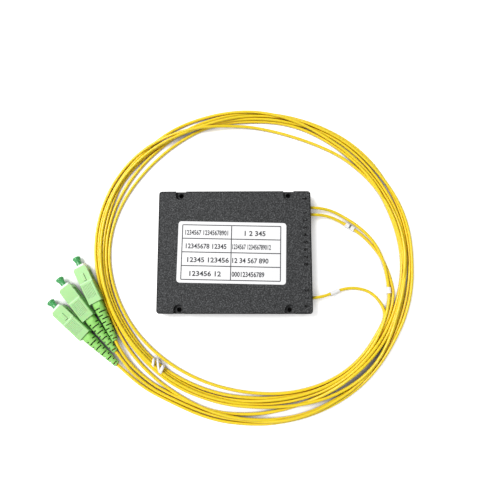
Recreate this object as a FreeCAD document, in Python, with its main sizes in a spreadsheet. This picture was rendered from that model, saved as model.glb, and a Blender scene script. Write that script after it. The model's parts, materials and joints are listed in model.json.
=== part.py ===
"""PLC fibre splitter module: a flat two-shell box with a sealed 1x2 splitter inside, one input and two
output cords of 2 mm, each ending in an angled push-pull connector, all wound in one loose coil.

Units are millimetres, +Z is up. The origin is the middle of the box's underside; the cords leave towards +X.
"""
import FreeCAD, Part
import math
import os
import re

import Sketcher
from FreeCAD import Placement, Rotation, Vector

doc = FreeCAD.newDocument("plc_fibre_splitter")
sizes = doc.addObject("Spreadsheet::Sheet", "sizes")

# ---------------------------------------------------------------- driving dimensions
DIMENSIONS = {
    # the box
    "box_length": 100, "box_width": 80, "box_height": 10, "split_height": 5,
    "corner_radius": 2, "rim_radius": 0.6, "wall": 2, "plate": 1.6,
    "tongue_width": 0.9, "tongue_height": 0.9, "joint_gap": 0.1,
    "screw_inset_x": 14.5, "screw_inset_y": 2.6, "screw_bore": 3.2,
    "recess_width": 6.9, "recess_depth": 2.8, "boss_wall": 1.4,
    "clamp_length": 6, "clamp_margin": 3, "cord_grip": 4, "cord_seat_gap": 0.05,
    "exit_inset": 10, "exit_pitch": 4.8,
    # the label
    "label_length": 70.4, "label_width": 40, "label_thickness": 0.12, "label_corner": 2,
    "label_centre_x": -1.8, "label_centre_y": -0.8, "label_turn": -1.2,
    # the splitter package
    "package_length": 40, "package_diameter": 4, "package_wall": 0.3,
    "package_centre_y": -12, "bend_gap": 1.05,
    "stopper_length": 3, "stopper_depth": 3, "stopper_diameter": 4.6,
    "chip_length": 12, "chip_width": 2.2, "chip_height": 1.6,
    "array_length": 7, "array_width": 2.6, "array_height": 2,
    "cradle_thickness": 2, "cradle_width": 9, "cradle_spacing": 24, "fit_gap": 0.05,
    # the cords
    "cord_diameter": 2, "fibre_diameter": 0.9, "fibre_pitch": 1.1,
    "marker_diameter": 3.2, "marker_gap": 0.2, "long_marker": 6.5, "short_marker": 4,
    "coil_height": 4.4, "coil_rounding": 1.4, "coil_centre_x": 11, "coil_centre_y": -5,
    "lead_face_angle": -24, "tail_face_angle": -118,
    "tie_angle": -130, "tie_radius": 91.6, "tie_reach": 7.4, "tie_height": 5, "tie_width": 3,
    "tie_rounding": 1.8, "tie_thickness": 0.6,
    # the connectors
    "cord_entry": 3, "cord_straight": 7, "jacket_front": 29, "buffer_front": 7.7,
    "sleeve_length": 25.7, "sleeve_width": 9, "sleeve_height": 7.4, "sleeve_step": 0.3,
    "step_start": 10.6, "step_length": 0.9, "sleeve_edge": 0.8, "sleeve_corner": 1.3,
    "key_width": 2, "key_length": 5, "key_height": 0.7, "key_setback": 4.9,
    "rib_pitch": 0.9, "rib_groove": 0.4, "rib_depth": 0.25, "rib_length": 9.6, "rib_start": 12.6,
    "latch_length": 8, "latch_height": 3.2, "latch_setback": 3.4, "latch_depth": 0.8,
    "frame_width": 7.3, "frame_height": 5.7, "frame_front": 1.3, "frame_rear": 21,
    "frame_corner": 0.5, "frame_mouth": 5.2, "mouth_depth": 3.8, "web_thickness": 1.5,
    "frame_bore": 4.6, "slide_gap": 0.08,
    "ferrule_diameter": 2.5, "ferrule_length": 10.5, "ferrule_front": 4, "ferrule_angle": 8,
    "flange_diameter": 4.4, "flange_thickness": 1.5, "tip_chamfer": 0.3,
    "barrel_diameter": 3, "barrel_rear": 11.5,
    "spring_diameter": 4.3, "spring_wire": 0.45, "spring_turns": 5,
    "spring_travel": 1, "sleeve_travel": 2,
    "post_front": 13, "post_collar": 5.2, "post_diameter": 3.2, "post_length": 5.5,
    "crimp_diameter": 4.2, "crimp_length": 8.5,
    "boot_front": 22, "boot_length": 27.5, "boot_diameter": 6.9, "boot_end_diameter": 3.7,
    "collar_length": 4, "collar_height": 5.5, "slit_width": 0.8, "slit_floor": 0.45,
    "slit_start": 4.7, "slit_pitch": 4.75, "slit_count": 5,
    "cap_front": 7.7, "cap_foot": 4, "cap_waist": 3.5, "cap_flare": 5.3, "cap_lip": 1.4,
    "cap_round": 1.1, "cap_blend": 2, "cap_clearance": 0.3,
}

# sizes that follow from the ones above: the screws and the exits keep their distance from the box's edges,
# and the splitter sits just far enough in for the output fibres' bend to clear the far wall
DERIVED = {
    "screw_x": "(box_length/2 - screw_inset_x)",
    "screw_y": "(box_width/2 - screw_inset_y)",
    "exit_y": "(box_width/2 - exit_inset)",
    "fibre_bend": "((exit_y - package_centre_y + fibre_pitch/2)/2)",
    "bend_centre_x": "(wall + bend_gap + fibre_diameter/2 + fibre_bend - box_length/2)",
    "package_centre_x": "(bend_centre_x + fibre_diameter/4 + stopper_length + package_length/2)",
}

for row, (alias, number) in enumerate(DIMENSIONS.items(), start=1):
    sizes.set(f"A{row}", alias)
    sizes.set(f"B{row}", str(number))
    sizes.setAlias(f"B{row}", alias)
doc.recompute()

WORD = re.compile(r"[a-z_]{3,}")


def named(expression):
    """The expression with derived sizes written out and each dimension's name pointing into the sheet."""
    while any(word in DERIVED for word in WORD.findall(expression)):
        expression = WORD.sub(lambda m: DERIVED.get(m[0], m[0]), expression)
    return WORD.sub(lambda m: "sizes." + m[0] if m[0] in DIMENSIONS else m[0], expression)


def value(expression):
    """What an expression of dimensions comes to."""
    result = sizes.evalExpression(named(expression))
    return float(getattr(result, "Value", result))


# ---------------------------------------------------------------- sketching helpers
def new_body(label, placement=None):
    body = doc.addObject("PartDesign::Body", label)
    body.Label = label
    if placement:
        body.Placement = placement
    return body


def new_sketch(body, name, role, offset=("0", "0", "0"), turn=None):
    """A sketch on one of the body's origin planes, moved by three expressions in the plane's own axes."""
    sketch = body.newObject("Sketcher::SketchObject", name)
    plane = next(f for f in body.Origin.OriginFeatures if f.Role == role)
    sketch.AttachmentSupport = [(plane, "")]
    sketch.MapMode = "FlatFace"
    if turn:
        sketch.AttachmentOffset = Placement(Vector(), turn)
    for axis, expression in zip("xyz", offset):
        if expression != "0":
            sketch.setExpression(f".AttachmentOffset.Base.{axis}", named(expression))
    return sketch


def hold_point(sketch, geometry, point, across, up):
    """Fix a point by its two distances from the sketch's origin."""
    for kind, axis, expression in (("DistanceX", -2, across), ("DistanceY", -1, up)):
        if expression == "0":
            sketch.addConstraint(Sketcher.Constraint("PointOnObject", geometry, point, axis))
            continue
        constraint = Sketcher.Constraint(kind, -1, 1, geometry, point, value(expression))
        index = sketch.addConstraint(constraint)
        sketch.setExpression(f"Constraints[{index}]", named(expression))


def add_outline(sketch, corners):
    """A closed outline of straight lines through corners given as pairs of expressions."""
    points = [Vector(value(across), value(up), 0) for across, up in corners]
    count = len(points)
    first = sketch.GeometryCount
    for i in range(count):
        sketch.addGeometry(Part.LineSegment(points[i], points[(i + 1) % count]), False)
    for i in range(count):
        end_of = first + (i - 1) % count
        sketch.addConstraint(Sketcher.Constraint("Coincident", end_of, 2, first + i, 1))
    for i, (across, up) in enumerate(corners):
        hold_point(sketch, first + i, 1, across, up)


def add_rectangle(sketch, across, up, width, height):
    left, right = f"({across}) - ({width})/2", f"({across}) + ({width})/2"
    low, high = f"({up}) - ({height})/2", f"({up}) + ({height})/2"
    add_outline(sketch, [(left, low), (right, low), (right, high), (left, high)])


def add_circle(sketch, across, up, diameter):
    centre = Vector(value(across), value(up), 0)
    circle = sketch.addGeometry(Part.Circle(centre, Vector(0, 0, 1), value(diameter) / 2), False)
    hold_point(sketch, circle, 3, across, up)
    index = sketch.addConstraint(Sketcher.Constraint("Diameter", circle, value(diameter)))
    sketch.setExpression(f"Constraints[{index}]", named(diameter))


def pad(body, sketch, length, symmetric=False):
    feature = body.newObject("PartDesign::Pad", sketch.Name + "_pad")
    feature.Profile = sketch
    feature.setExpression("Length", named(length))
    if symmetric:
        feature.SideType = "Symmetric"
    sketch.Visibility = False
    doc.recompute()
    return feature


def pocket(body, sketch, length=None, symmetric=False, reverse=False):
    """Cut the sketch away, through everything where no length is given; it has to remove something."""
    before = body.Shape.Volume
    feature = body.newObject("PartDesign::Pocket", sketch.Name + "_cut")
    feature.Profile = sketch
    if length:
        feature.setExpression("Length", named(length))
    else:
        feature.Type = "ThroughAll"
    if symmetric:
        feature.SideType = "Symmetric"
    feature.Reversed = reverse
    doc.recompute()
    if body.Shape.Volume > before - 1e-6:
        raise ValueError(f"{sketch.Name} cuts nothing")
    return feature


def revolve(body, corners, cut=False):
    """Turn an outline of (along the axis, radius) corners round the body's own X axis."""
    kind = "Groove" if cut else "Revolution"
    sketch = new_sketch(body, f"{body.Label}_{kind}_profile", "XZ_Plane")
    add_outline(sketch, corners)
    feature = body.newObject(f"PartDesign::{kind}", f"{body.Label}_{kind}")
    feature.Profile = sketch
    feature.ReferenceAxis = (sketch, ["H_Axis"])
    feature.Angle = 360
    doc.recompute()
    return feature


def dress(body, kind, radius, chosen):
    """A Fillet or Chamfer on the edges of the body's tip that the test picks."""
    tip = body.Tip
    names = [f"Edge{i}" for i, edge in enumerate(tip.Shape.Edges, start=1) if chosen(edge)]
    feature = body.newObject(f"PartDesign::{kind}", f"{body.Label}_{kind}")
    feature.Base = (tip, names)
    feature.setExpression("Radius" if kind == "Fillet" else "Size", named(radius))
    doc.recompute()
    return feature


def runs_along(edge, axis):
    """True where a straight edge is parallel to the axis."""
    if not isinstance(edge.Curve, Part.Line):
        return False
    return abs(edge.Curve.Direction.dot(axis)) > 0.999


ALONG_X, ALONG_Y, ALONG_Z = Vector(1, 0, 0), Vector(0, 1, 0), Vector(0, 0, 1)

# ---------------------------------------------------------------- the box
SCREW_PLACES = [(f"{sx}*screw_x", f"{sy}*screw_y") for sx in (1, -1) for sy in (1, -1)]
OUTPUT_EXITS = [f"exit_y - {k}*exit_pitch" for k in range(8)]
INPUT_EXITS = [f"-exit_y + {k}*exit_pitch" for k in range(2)]
EXIT_BORE = "cord_diameter + 2*cord_seat_gap"
PACKAGE_SEAT = "package_diameter + 2*fit_gap"


def shell_block(label, low, height):
    """The outer block of one shell, with rounded corners and a softened outer rim."""
    body = new_body(label)
    outline = new_sketch(body, label + "_outline", "XY_Plane", ("0", "0", low))
    add_rectangle(outline, "0", "0", "box_length", "box_width")
    pad(body, outline, height)
    dress(body, "Fillet", "corner_radius", lambda edge: runs_along(edge, ALONG_Z))
    return body


def soften_rim(body, rim):
    level = value(rim)
    dress(body, "Fillet", "rim_radius", lambda edge: abs(edge.BoundBox.ZMin - level) < 1e-6
          and abs(edge.BoundBox.ZMax - level) < 1e-6)


def hollow(body, label, low, depth, reverse):
    cavity = new_sketch(body, label + "_cavity", "XY_Plane", ("0", "0", low))
    add_rectangle(cavity, "0", "0", "box_length - 2*wall", "box_width - 2*wall")
    pocket(body, cavity, depth, reverse=reverse)


def inner_blocks(body, label, low, height):
    """Screw bosses, the clamp that grips the cords, and two cradle ribs under the splitter package."""
    bosses = new_sketch(body, label + "_bosses", "XY_Plane", ("0", "0", low))
    for across, up in SCREW_PLACES:
        add_circle(bosses, across, up, "recess_width + 2*boss_wall")
    pad(body, bosses, height)
    outside = new_sketch(body, label + "_outside", "XY_Plane", ("0", "0", low))
    for side in (1, -1):
        add_rectangle(outside, "0", f"{side}*(box_width + recess_width)/2", "box_length", "recess_width")
    pocket(body, outside, height, reverse=True)
    blocks = new_sketch(body, label + "_blocks", "XY_Plane", ("0", "0", low))
    add_rectangle(blocks, "box_length/2 - wall*3/4 - clamp_length/2", "0", "clamp_length + wall/2",
                  "2*(exit_y + clamp_margin)")
    for side in (1, -1):
        add_rectangle(blocks, f"package_centre_x + {side}*cradle_spacing/2", "package_centre_y",
                      "cradle_thickness", "cradle_width")
    pad(body, blocks, height)


def bore_exits(body, label):
    """Ten half-round cord seats through the end wall and the clamp, and the package's seat in the ribs."""
    exits = new_sketch(body, label + "_exits", "YZ_Plane", ("0", "0", "box_length/2 + wall"))
    for place in OUTPUT_EXITS + INPUT_EXITS:
        add_circle(exits, place, "split_height", EXIT_BORE)
    pocket(body, exits, "3*wall + clamp_length")
    seat = new_sketch(body, label + "_seat", "YZ_Plane", ("0", "0", "package_centre_x"))
    add_circle(seat, "package_centre_y", "split_height", PACKAGE_SEAT)
    pocket(body, seat, "cradle_spacing + 2*cradle_thickness", symmetric=True)


def bore_screws(body, label):
    screws = new_sketch(body, label + "_screws", "XY_Plane", ("0", "0", "box_height"))
    for across, up in SCREW_PLACES:
        add_circle(screws, across, up, "screw_bore")
    pocket(body, screws)


def make_base_shell():
    body = shell_block("base_shell", "0", "split_height")
    soften_rim(body, "0")
    hollow(body, "base", "split_height", "split_height - plate", False)
    inner_blocks(body, "base", "plate", "split_height - plate")
    rebate = new_sketch(body, "base_rebate", "XY_Plane", ("0", "0", "split_height"))
    add_rectangle(rebate, "0", "0", "box_length - 2*wall + 2*tongue_width + 2*joint_gap",
                  "box_width - 2*wall + 2*tongue_width + 2*joint_gap")
    add_rectangle(rebate, "0", "0", "box_length - 2*wall - joint_gap", "box_width - 2*wall - joint_gap")
    pocket(body, rebate, "tongue_height + joint_gap")
    bore_exits(body, "base")
    bore_screws(body, "base")
    return body


def make_lid_shell():
    body = shell_block("lid_shell", "split_height", "box_height - split_height")
    soften_rim(body, "box_height")
    hollow(body, "lid", "split_height", "box_height - split_height - plate", True)
    inner_blocks(body, "lid", "split_height", "box_height - split_height - plate/2")
    tongue = new_sketch(body, "lid_tongue", "XY_Plane", ("0", "0", "split_height - tongue_height"))
    add_rectangle(tongue, "0", "0", "box_length - 2*wall + 2*tongue_width", "box_width - 2*wall + 2*tongue_width")
    add_rectangle(tongue, "0", "0", "box_length - 2*wall", "box_width - 2*wall")
    pad(body, tongue, "tongue_height")
    recess = new_sketch(body, "lid_recess_ends", "XY_Plane", ("0", "0", "box_height"))
    for across, up in SCREW_PLACES:
        add_circle(recess, across, up, "recess_width")
    pocket(body, recess, "recess_depth")
    mouths = new_sketch(body, "lid_recess_mouths", "XY_Plane", ("0", "0", "box_height"))
    for side in (1, -1):
        for end in (1, -1):
            add_rectangle(mouths, f"{side}*screw_x", f"{end}*(screw_y + recess_width/2)",
                          "recess_width", "recess_width")
    pocket(body, mouths, "recess_depth")
    bore_exits(body, "lid")
    bore_screws(body, "lid")
    return body


def make_label():
    body = new_body("paper_label")
    outline = new_sketch(body, "label_outline", "XY_Plane")
    add_rectangle(outline, "0", "0", "label_length", "label_width")
    pad(body, outline, "label_thickness")
    dress(body, "Fillet", "label_corner", lambda edge: runs_along(edge, ALONG_Z))
    body.Placement.Rotation = Rotation(ALONG_Z, value("label_turn"))
    for axis, place in zip("xyz", ("label_centre_x", "label_centre_y", "box_height")):
        body.setExpression(f"Placement.Base.{axis}", named(place))
    return body


# ---------------------------------------------------------------- the sealed splitter
def seat_in_box(body):
    """The package's pieces share one frame: its own middle, on the split plane, with X along the tube."""
    for axis, place in zip("xyz", ("package_centre_x", "package_centre_y", "split_height")):
        body.setExpression(f"Placement.Base.{axis}", named(place))
    return body


def make_package_tube():
    body = seat_in_box(new_body("package_tube"))
    bore = "package_diameter/2 - package_wall"
    revolve(body, [("-package_length/2", bore), ("package_length/2", bore),
                   ("package_length/2", "package_diameter/2"), ("-package_length/2", "package_diameter/2")])
    return body


def make_stopper(label, side, fibre_places):
    """A rubber stopper in one mouth of the tube, bored for the fibres that pass through it."""
    body = seat_in_box(new_body(label))
    mouth, inner = f"{side}*package_length/2", f"{side}*(package_length/2 - stopper_depth)"
    outer, bore = f"{side}*(package_length/2 + stopper_length)", "package_diameter/2 - package_wall"
    revolve(body, [(inner, "0"), (inner, bore), (mouth, bore), (mouth, "stopper_diameter/2"),
                   (f"{side}*(package_length/2 + stopper_length*0.4)", "stopper_diameter/2"),
                   (outer, "stopper_diameter*0.36"), (outer, "0")])
    holes = new_sketch(body, label + "_holes", "YZ_Plane")
    for place in fibre_places:
        add_circle(holes, place, "0", "fibre_diameter + 2*fit_gap")
    pocket(body, holes, "2*package_length", symmetric=True)
    return body


def make_bar(label, centre, length, width, height):
    body = seat_in_box(new_body(label))
    section = new_sketch(body, label + "_section", "YZ_Plane", ("0", "0", f"{centre} - ({length})/2"))
    add_rectangle(section, "0", "0", width, height)
    pad(body, section, length)
    return body


# ---------------------------------------------------------------- round cords and fibres
def add_solid(label, solid, placement=None):
    """A sub-part whose form neither sketches nor primitives fit."""
    feature = doc.addObject("Part::Feature", label)
    feature.Label = label
    feature.Shape = solid
    if placement:
        feature.Placement = placement
    return feature


def rounded_wire(points):
    """Straight runs joined by tangent arcs, each arc as large as its shorter run allows, and the radii."""
    points = [Vector(*p) for p in points]
    edges, radii, start = [], [], points[0]
    for before, corner, after in zip(points, points[1:], points[2:]):
        back, ahead = (before - corner), (after - corner)
        turn = math.pi - back.getAngle(ahead)
        reach = 0.45 * min(back.Length, ahead.Length)
        radii.append(reach / math.tan(turn / 2))
        leave, arrive = corner + back.normalize() * reach, corner + ahead.normalize() * reach
        inward = (back + ahead).normalize()
        middle = corner + inward * (radii[-1] / math.cos(turn / 2) - radii[-1])
        edges += [Part.LineSegment(start, leave).toShape(), Part.Arc(leave, middle, arrive).toShape()]
        start = arrive
    edges.append(Part.LineSegment(start, points[-1]).toShape())
    return Part.Wire(edges), radii


def sweep_round(wire, diameter):
    """A round bar of the given diameter along the wire."""
    start = wire.Edges[0].Vertexes[0].Point
    ahead = wire.Edges[0].tangentAt(wire.Edges[0].FirstParameter)
    section = Part.Wire([Part.makeCircle(diameter / 2, start, ahead)])
    return wire.makePipeShell([section], True, False)


def add_round(label, points, diameter_name):
    """A cord or fibre through the points; prints its arcs and checks its volume against its length."""
    wire, radii = rounded_wire(points)
    solid = sweep_round(wire, value(diameter_name))
    expected = wire.Length * math.pi * value(diameter_name) ** 2 / 4
    print(f"{label}: {wire.Length:.1f} mm long, radii {min(radii, default=0):.1f} to {max(radii, default=0):.1f},"
          f" volume {solid.Volume / expected:.4f} of section x length")
    return add_solid(label, solid)


INPUT_FACE = value("package_centre_x + chip_length/2 + array_length")
OUTPUT_FACE = value("package_centre_x - chip_length/2 - array_length")
PACKAGE_Y, MID_Z = value("package_centre_y"), value("split_height")
INNER_END_X = value("box_length/2 - wall - cord_grip")
OUTPUT_YS = [value(OUTPUT_EXITS[0]), value(OUTPUT_EXITS[1])]
INPUT_Y = value(INPUT_EXITS[0])


def arc_points(centre, radius, start, end):
    """Corner points outside a circular bend, so that the tangent arcs between them follow the circle."""
    steps = 6
    half = math.radians(end - start) / steps / 2
    outside = radius / math.cos(half)
    angles = [math.radians(start) + half * (2 * i + 1) for i in range(steps)]
    return [(centre[0] + outside * math.cos(a), centre[1] + outside * math.sin(a), MID_Z) for a in angles]


def output_fibre_points(exit_y, seat_y):
    """In from the clamp, round a half turn at the far end, and back into the package's output face."""
    radius = (exit_y - seat_y) / 2
    bend = arc_points((value("bend_centre_x"), (exit_y + seat_y) / 2), radius, 90, 270)
    return [(INNER_END_X, exit_y, MID_Z)] + bend + [(OUTPUT_FACE, seat_y, MID_Z)]


def input_fibre_points():
    """A gentle double bend from the clamp into the package's input face."""
    tip = value("package_centre_x + package_length/2 + stopper_length")
    span, rise = INNER_END_X - tip, PACKAGE_Y - INPUT_Y
    bend = [(0, 0), (0.29, 0), (0.5, 0.26), (0.68, 0.75), (0.86, 1)]
    places = [(INNER_END_X - span * s, INPUT_Y + rise * r, MID_Z) for s, r in bend]
    return places + [(INPUT_FACE, PACKAGE_Y, MID_Z)]


# ---------------------------------------------------------------- the connectors
# each connector piece's own X axis is the ferrule's, with the grip's front face at zero
def make_grip_sleeve(label, frame):
    """The outer grip: a thin smooth nose, a step, and a thicker ribbed half; it slides on the plug frame."""
    body = new_body(label, frame)
    thin, thick = "sleeve_height/2 - sleeve_step", "sleeve_height/2"
    section = new_sketch(body, label + "_section", "YZ_Plane", ("0", "0", "-sleeve_length"))
    add_rectangle(section, "0", "0", "sleeve_width", "sleeve_height")
    pad(body, section, "sleeve_length")
    dress(body, "Fillet", "sleeve_edge", lambda edge: runs_along(edge, ALONG_X))
    steps = new_sketch(body, label + "_steps", "XZ_Plane")
    for side in ("1", "(-1)"):
        add_outline(steps, [("0", f"{side}*({thin})"), ("0", f"{side}*sleeve_height"),
                            ("-step_start - step_length", f"{side}*sleeve_height"),
                            ("-step_start - step_length", f"{side}*({thick})"), ("-step_start", f"{side}*({thin})")])
    pocket(body, steps, "2*sleeve_width", symmetric=True)
    corners = new_sketch(body, label + "_corners", "XY_Plane")
    for side in ("1", "(-1)"):
        add_outline(corners, [("0", f"{side}*(sleeve_width/2 - sleeve_corner)"), ("0", f"{side}*sleeve_width/2"),
                              ("-sleeve_corner", f"{side}*sleeve_width/2")])
    pocket(body, corners, "2*sleeve_height", symmetric=True)
    opening = new_sketch(body, label + "_opening", "YZ_Plane")
    add_rectangle(opening, "0", "0", "frame_width + 2*slide_gap", "frame_height + 2*slide_gap")
    pocket(body, opening)
    windows = new_sketch(body, label + "_windows", "XZ_Plane")
    add_rectangle(windows, "-latch_setback - latch_length/2", "0", "latch_length", "latch_height")
    pocket(body, windows, "2*sleeve_width", symmetric=True)
    for name, level, reverse in (("top", "sleeve_height/2", False), ("under", "-sleeve_height/2", True)):
        ribs = new_sketch(body, f"{label}_{name}_grooves", "XY_Plane", ("0", "0", level))
        for k in range(-3, 4):
            add_rectangle(ribs, "-rib_start - rib_length/2", f"{k}*rib_pitch", "rib_length", "rib_groove")
        pocket(body, ribs, "rib_depth", reverse=reverse)
    key = new_sketch(body, label + "_key", "XY_Plane", ("0", "0", f"{thin} - rib_depth"))
    add_rectangle(key, "-key_setback - key_length/2", "0", "key_length", "key_width")
    pad(body, key, "key_height + rib_depth")
    return body


def make_plug_frame(label, frame):
    """The white inner housing: a square nose, a web that stops the ferrule's flange, a bore for the spring."""
    body = new_body(label, frame)
    block = new_sketch(body, label + "_section", "YZ_Plane", ("0", "0", "-frame_rear"))
    add_rectangle(block, "0", "0", "frame_width", "frame_height")
    pad(body, block, "frame_rear + frame_front")
    dress(body, "Chamfer", "frame_corner", lambda edge: runs_along(edge, ALONG_X))
    mouth = new_sketch(body, label + "_mouth", "YZ_Plane", ("0", "0", "frame_front"))
    add_circle(mouth, "0", "0", "frame_mouth")
    pocket(body, mouth, "mouth_depth")
    guide = new_sketch(body, label + "_guide", "YZ_Plane", ("0", "0", "frame_front"))
    add_circle(guide, "0", "0", "ferrule_diameter + 2*cord_seat_gap")
    pocket(body, guide)
    bore = new_sketch(body, label + "_bore", "YZ_Plane", ("0", "0", "-frame_rear"))
    add_circle(bore, "0", "0", "frame_bore")
    pocket(body, bore, "frame_rear + frame_front - mouth_depth - web_thickness", reverse=True)
    for turned in (False, True):
        ledge = new_sketch(body, f"{label}_latch_{int(turned)}", "XZ_Plane",
                           ("0", "0", f"{1 if turned else -1}*frame_width/2"))
        add_rectangle(ledge, "-latch_setback - latch_length/2", "0", "latch_length*0.6", "latch_height*0.8")
        pocket(body, ledge, "latch_depth", reverse=not turned)
    return body


WEB_REAR = "frame_front - mouth_depth - web_thickness"
FLANGE_FRONT = f"{WEB_REAR} - cord_seat_gap"
FLANGE_REAR = f"{FLANGE_FRONT} - flange_thickness"
FERRULE_REAR = "ferrule_front - ferrule_length"
CAP_REAR = f"{WEB_REAR} + web_thickness + spring_travel + cap_clearance"


def make_ferrule(label, frame):
    """The ceramic ferrule, its tip polished at an angle."""
    body = new_body(label, frame)
    radius = "ferrule_diameter/2"
    revolve(body, [(FERRULE_REAR, "0"), (FERRULE_REAR, radius), ("ferrule_front - tip_chamfer", radius),
                   ("ferrule_front", f"{radius} - tip_chamfer"), ("ferrule_front", "0")])
    slope = new_sketch(body, label + "_polish", "XZ_Plane")
    add_outline(slope, [("ferrule_front", "ferrule_diameter"), ("ferrule_front + 1", "ferrule_diameter"),
                        ("ferrule_front + 1", "-ferrule_diameter/2"), ("ferrule_front", "-ferrule_diameter/2"),
                        ("ferrule_front - ferrule_diameter*tan(ferrule_angle)", "ferrule_diameter/2")])
    pocket(body, slope, "2*ferrule_diameter", symmetric=True)
    return body


def make_flange(label, frame):
    """The metal flange behind the web, with a socket for the ferrule and a barrel inside the spring."""
    body = new_body(label, frame)
    rear = "-barrel_rear"
    revolve(body, [(FLANGE_FRONT, "ferrule_diameter/2"), (FLANGE_FRONT, "flange_diameter/2"),
                   (FLANGE_REAR, "flange_diameter/2"), (FLANGE_REAR, "barrel_diameter/2"),
                   (rear, "barrel_diameter/2"), (rear, "fibre_diameter/2 + fit_gap"),
                   (FERRULE_REAR, "fibre_diameter/2 + fit_gap"), (FERRULE_REAR, "ferrule_diameter/2")])
    return body


def make_spring(label, frame):
    """The coil spring between the flange and the rear post, ends just seated on both."""
    front, rear = value(FLANGE_REAR), -value("post_front")
    wire_radius = value("spring_wire") / 2
    length = front - rear - 2 * wire_radius
    radius = value("spring_diameter") / 2 - wire_radius
    helix = Part.makeHelix(length / value("spring_turns"), length, radius)
    corners = [Vector(radius + wire_radius * math.cos(a), 0, wire_radius * math.sin(a))
               for a in (math.radians(60 * k) for k in range(7))]
    section = Part.makePolygon(corners)
    solid = Part.Wire(helix.Edges).makePipeShell([section], True, True)
    seat = Placement(Vector(rear + wire_radius, 0, 0), Rotation(ALONG_Y, 90))
    return add_solid(label, solid, frame.multiply(seat))


POST_COLLAR_REAR = "-frame_rear - 0.8"
POST_REAR = f"{POST_COLLAR_REAR} - post_length"


def make_rear_post(label, frame):
    """The turned metal post pressed into the frame: nose, collar, and a grooved neck for the crimp."""
    body = new_body(label, frame)
    bore, nose = "barrel_diameter/2 + slide_gap", "frame_bore/2"
    neck = "post_diameter/2"
    corners = [("-post_front", bore), ("-post_front", nose), ("-frame_rear", nose),
               ("-frame_rear", "post_collar/2"), (POST_COLLAR_REAR, "post_collar/2"), (POST_COLLAR_REAR, neck)]
    for k in range(4):
        start = f"{POST_COLLAR_REAR} - post_length*{0.3 + 0.16 * k:.2f}"
        corners += [(start, neck), (f"{start} - 0.2", f"{neck} - 0.2"), (f"{start} - 0.5", f"{neck} - 0.2"),
                    (f"{start} - 0.7", neck)]
    narrow = "fibre_diameter/2 + 0.2"
    corners += [(POST_REAR, neck), (POST_REAR, narrow), ("-post_front - 3", narrow), ("-post_front - 3", bore)]
    revolve(body, corners)
    return body


CRIMP_FRONT = f"{POST_COLLAR_REAR} - 0.1"
CRIMP_REAR = f"{CRIMP_FRONT} - crimp_length"


def make_crimp_ring(label, frame):
    """The crimped metal ring: wide over the post, narrow where it grips the cord's jacket."""
    body = new_body(label, frame)
    step = f"{POST_REAR} - 0.3"
    revolve(body, [(CRIMP_FRONT, "post_diameter/2"), (CRIMP_FRONT, "crimp_diameter/2"),
                   (f"{step} - 0.3", "crimp_diameter/2"), (f"{step} - 0.8", "crimp_diameter/2 - 0.5"),
                   (CRIMP_REAR, "crimp_diameter/2 - 0.5"), (CRIMP_REAR, "cord_diameter/2"),
                   (f"{step} - 0.5", "cord_diameter/2"), (step, "post_diameter/2")])
    return body


def slit_sketch(body, name, role, turn, shift):
    """Slits cut in from two opposite sides, each down to a chord at a share of the boot's radius there."""
    sketch = new_sketch(body, name, role, turn=turn)
    taper = "(boot_diameter - boot_end_diameter)/(boot_length - collar_length)"
    for k in range(int(value("slit_count"))):
        reach = f"(slit_start + {k + shift}*slit_pitch)"
        floor = f"slit_floor*(boot_diameter - ({reach} - collar_length)*{taper})/2"
        for side in ("1", "(-1)"):
            add_rectangle(sketch, f"-sleeve_length - {reach}", f"{side}*(boot_diameter + {floor})/2",
                          "slit_width", f"boot_diameter - {floor}")
    return sketch


def make_boot(label, frame, turn):
    """The bend boot: a flattened collar inside the grip, then a tapered sleeve cut by slits on four sides."""
    body = new_body(label, frame)
    taper_start, end = "-sleeve_length - collar_length", "-sleeve_length - boot_length"
    crimp, cord = "crimp_diameter/2 + fit_gap", "cord_diameter/2 + fit_gap"
    revolve(body, [("-boot_front", crimp), ("-boot_front", "boot_diameter/2"),
                   (taper_start, "boot_diameter/2"), (end, "boot_end_diameter/2"), (end, cord),
                   (f"{CRIMP_REAR} - 0.6", cord), (f"{CRIMP_REAR} - 0.6", crimp)])
    flats = new_sketch(body, label + "_flats", "XZ_Plane")
    back = "sleeve_length + sleeve_travel + slit_width"
    for side in (1, -1):
        add_rectangle(flats, f"-(boot_front + {back})/2", f"{side}*(collar_height/2 + boot_diameter/4)",
                      f"{back} - boot_front", "boot_diameter/2")
    pocket(body, flats, "2*boot_diameter", symmetric=True)
    turned = Rotation(ALONG_X, turn)
    pocket(body, slit_sketch(body, label + "_slits_up", "XY_Plane", turned, 0), "2*boot_diameter", symmetric=True)
    pocket(body, slit_sketch(body, label + "_slits_side", "XZ_Plane", turned, 0.5), "2*boot_diameter", symmetric=True)
    return body


def make_dust_cap(label, frame):
    """The soft cap on the ferrule: a foot at the frame's mouth, a waist, and a flared round end to pull on."""
    body = new_body(label, frame)
    bore, waist, flare = "ferrule_diameter/2 + cord_seat_gap", "cap_waist/2", "cap_flare/2"
    floor, rim = "ferrule_front + cap_clearance", "cap_front - cap_lip"
    revolve(body, [(CAP_REAR, bore), (CAP_REAR, "cap_foot/2"), ("frame_front", "cap_foot/2"),
                   ("ferrule_front", waist), (rim, flare), ("cap_front", flare), ("cap_front", "0"),
                   (floor, "0"), (floor, bore)])
    at_waist = value("ferrule_front")
    dress(body, "Fillet", "cap_blend", lambda edge: edge.BoundBox.XLength < 1e-3 and edge.BoundBox.YLength > 3
          and abs(edge.BoundBox.XMin - at_waist) < 1e-3)
    end = value("cap_front")
    dress(body, "Fillet", "cap_round", lambda edge: edge.BoundBox.XMin > end - 1e-3 and edge.BoundBox.YLength > 3)
    return body


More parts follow.
